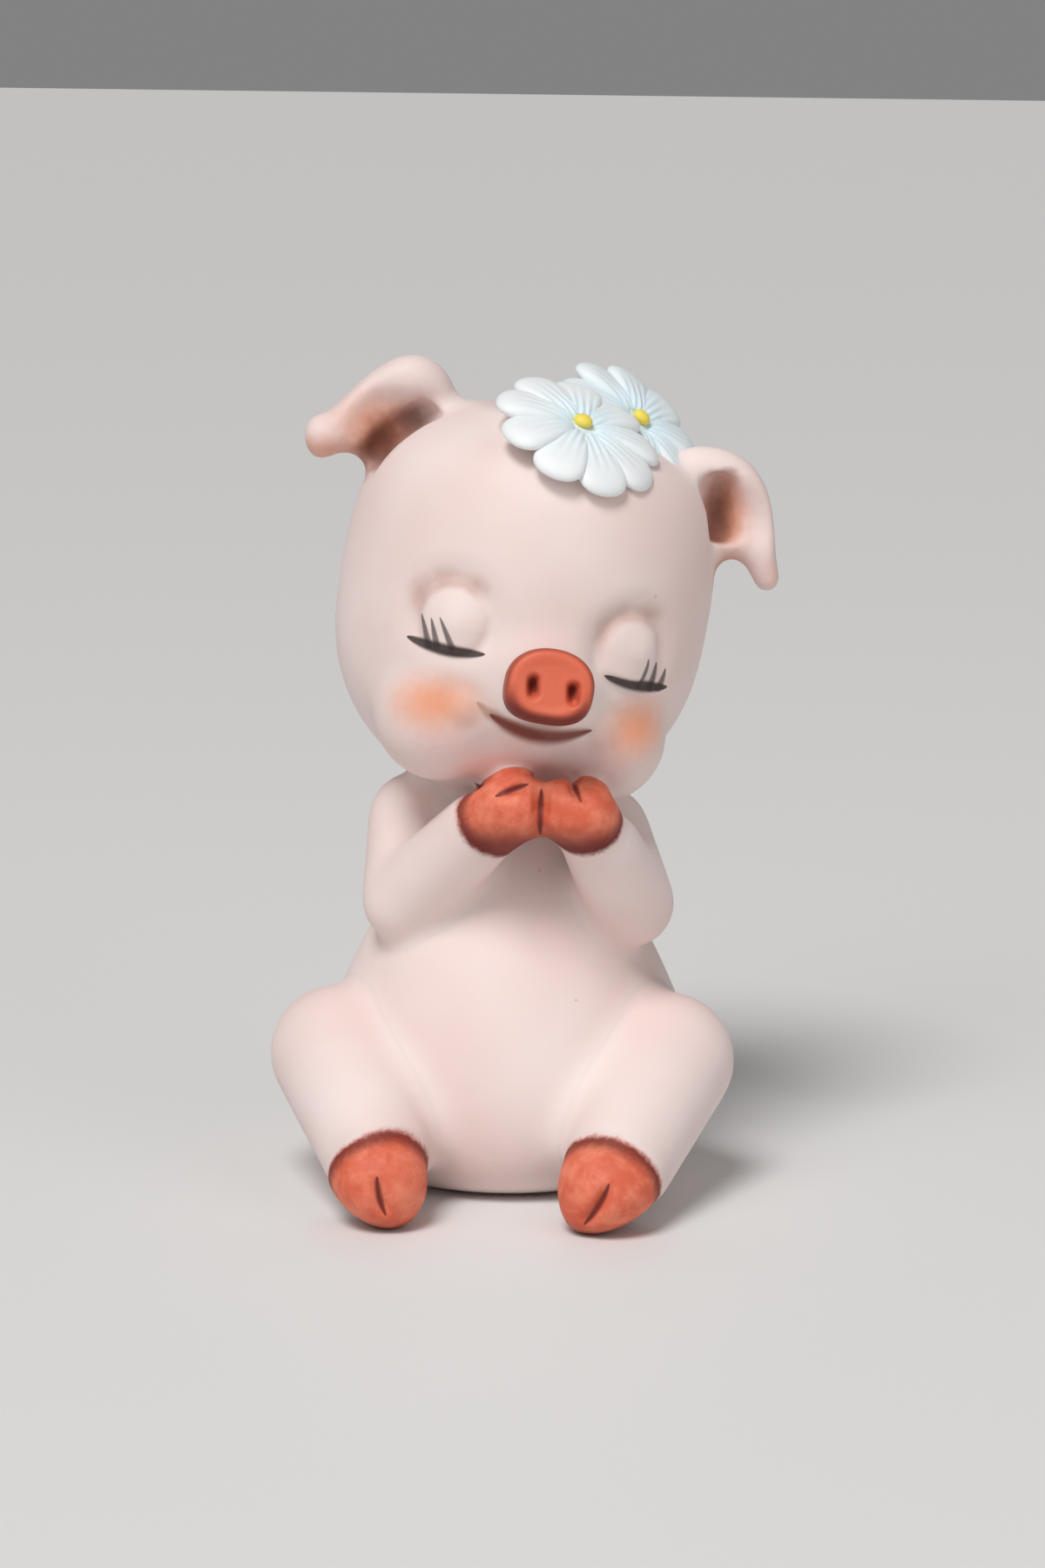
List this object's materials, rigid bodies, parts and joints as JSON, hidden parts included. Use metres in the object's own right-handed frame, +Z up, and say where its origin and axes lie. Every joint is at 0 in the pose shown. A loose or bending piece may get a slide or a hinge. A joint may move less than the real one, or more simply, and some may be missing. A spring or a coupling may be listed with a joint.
{
  "type": "pig figurine",
  "caption": "Small bisque porcelain pig, seated upright with closed eyes and joined front hooves, flowers on its crown; stands on its flat base and hind hooves",
  "frame": {"origin": "centre of the vent hole in the flat base, on the plane that the figure stands on", "axes": "+Z up, the pig faces -Y, its left side is at +X"},
  "size_m": [0.0572, 0.0573, 0.0945],
  "materials": {
    "pink_bisque": "unglazed bisque porcelain, pale pink matt paint with a soft satin, airbrushed blush and shading",
    "coral_bisque": "bisque porcelain with brushed coral red matt paint, darker at its edge",
    "white_bisque": "bisque porcelain with white matt paint, pale blue in its grooves",
    "blue_tinted_bisque": "bisque porcelain with white matt paint over pale blue",
    "yellow_bisque": "bisque porcelain with lemon yellow matt paint"
  },
  "bodies": {
    "root": {"arm_left": "pink_bisque", "arm_right": "pink_bisque", "ear_left": "pink_bisque", "ear_right": "pink_bisque", "flower_back_button": "yellow_bisque", "flower_back_pad": "blue_tinted_bisque", "flower_back_petal_1": "blue_tinted_bisque", "flower_back_petal_2": "blue_tinted_bisque", "flower_back_petal_3": "blue_tinted_bisque", "flower_back_petal_4": "blue_tinted_bisque", "flower_back_petal_5": "blue_tinted_bisque", "flower_back_petal_6": "blue_tinted_bisque", "flower_back_petal_7": "blue_tinted_bisque", "flower_front_button": "yellow_bisque", "flower_front_pad": "white_bisque", "flower_front_petal_1": "white_bisque", "flower_front_petal_2": "white_bisque", "flower_front_petal_3": "white_bisque", "flower_front_petal_4": "white_bisque", "flower_front_petal_5": "white_bisque", "flower_front_petal_6": "white_bisque", "flower_front_petal_7": "white_bisque", "flower_front_petal_8": "white_bisque", "flower_front_petal_9": "white_bisque", "fore_hoof_left": "coral_bisque", "fore_hoof_right": "coral_bisque", "head_shell": "pink_bisque", "hind_hoof_left": "coral_bisque", "hind_hoof_right": "coral_bisque", "leg_left": "pink_bisque", "leg_right": "pink_bisque", "snout": "coral_bisque", "tail": "pink_bisque", "torso_shell": "pink_bisque"}
  },
  "joints": []
}
